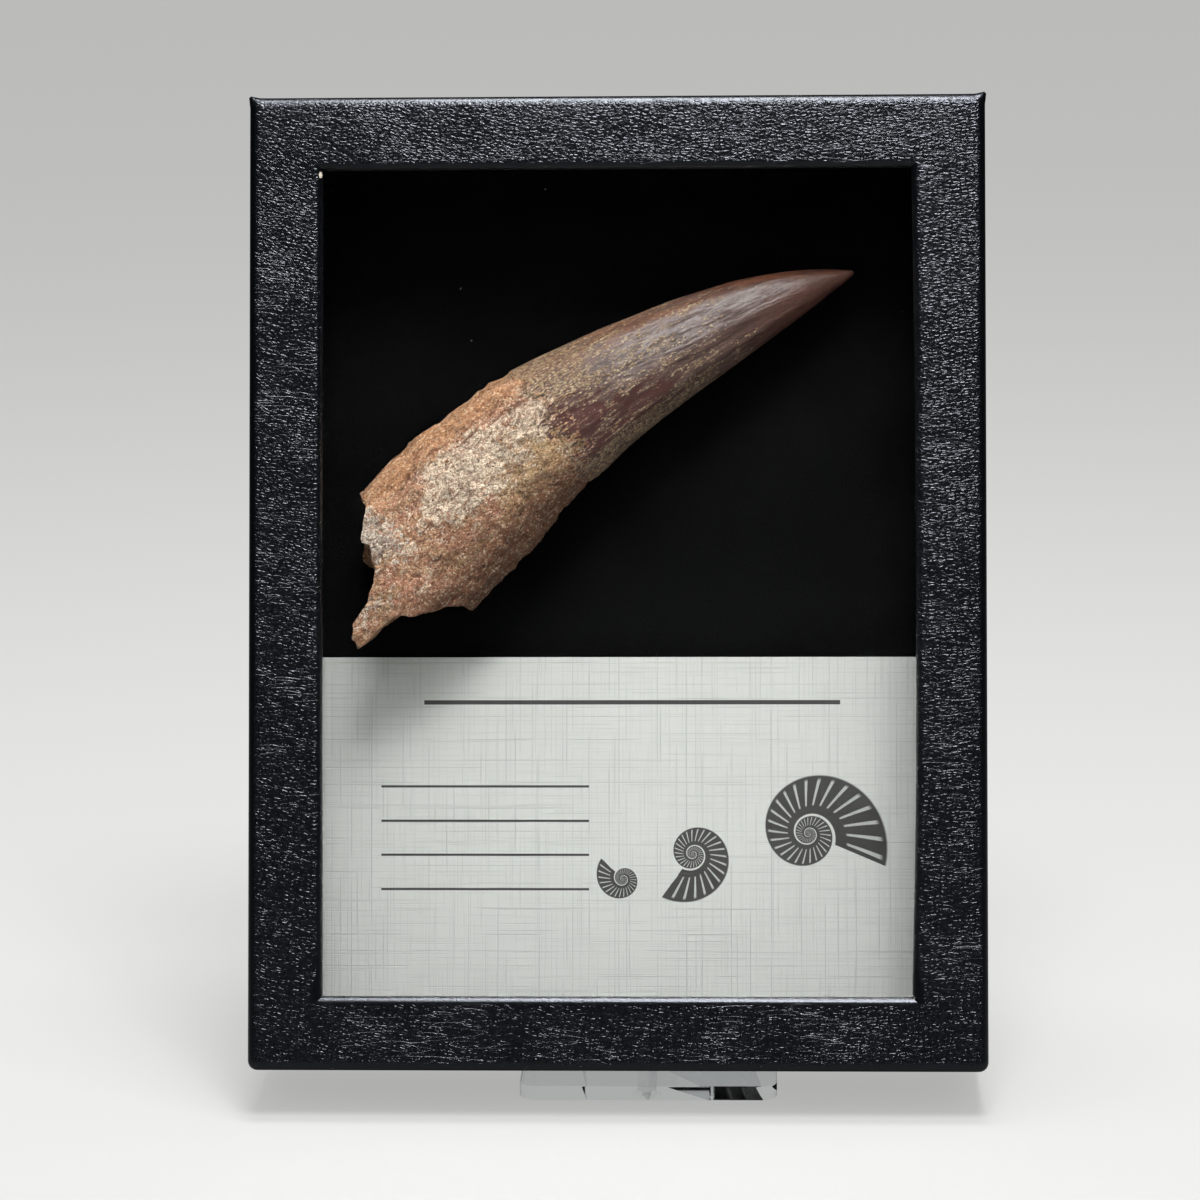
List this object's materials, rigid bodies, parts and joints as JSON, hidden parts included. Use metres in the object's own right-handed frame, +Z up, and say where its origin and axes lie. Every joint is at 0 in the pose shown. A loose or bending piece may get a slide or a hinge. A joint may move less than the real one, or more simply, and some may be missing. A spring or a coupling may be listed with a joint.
{
  "type": "fossil tooth in a glazed display case on an easel",
  "caption": "Large curved fossil tooth with a broken root, fixed on velvet over a plain label card in a glazed black display case, leaning on a bent clear easel.",
  "frame": {"origin": "middle of the underside of the whole object's box, on the surface that the easel's foot stands on", "axes": "+Z up, the object's tallest way; the glazed front of the case faces -Y and leans back towards +Y; +X to the right when the front is looked at"},
  "size_m": [0.1588, 0.1185, 0.2143],
  "materials": {
    "fossil": "permineralised tooth: satin brown enamel on the crown, rough sandy tan root",
    "leatherette": "black leather-grained covering paper with a low sheen",
    "pane": "clear polished pane",
    "board": "black paper-covered board",
    "velvet": "short black nap",
    "linen_card": "matt off-white card embossed with a fine linen grid",
    "acrylic": "clear bent sheet with polished edges"
  },
  "bodies": {
    "root": {"tooth": "fossil", "lid": "leatherette", "glass_pane": "pane", "base_tray": "board", "backing_pad": "velvet", "label_card": "linen_card", "easel": "acrylic"}
  },
  "joints": []
}
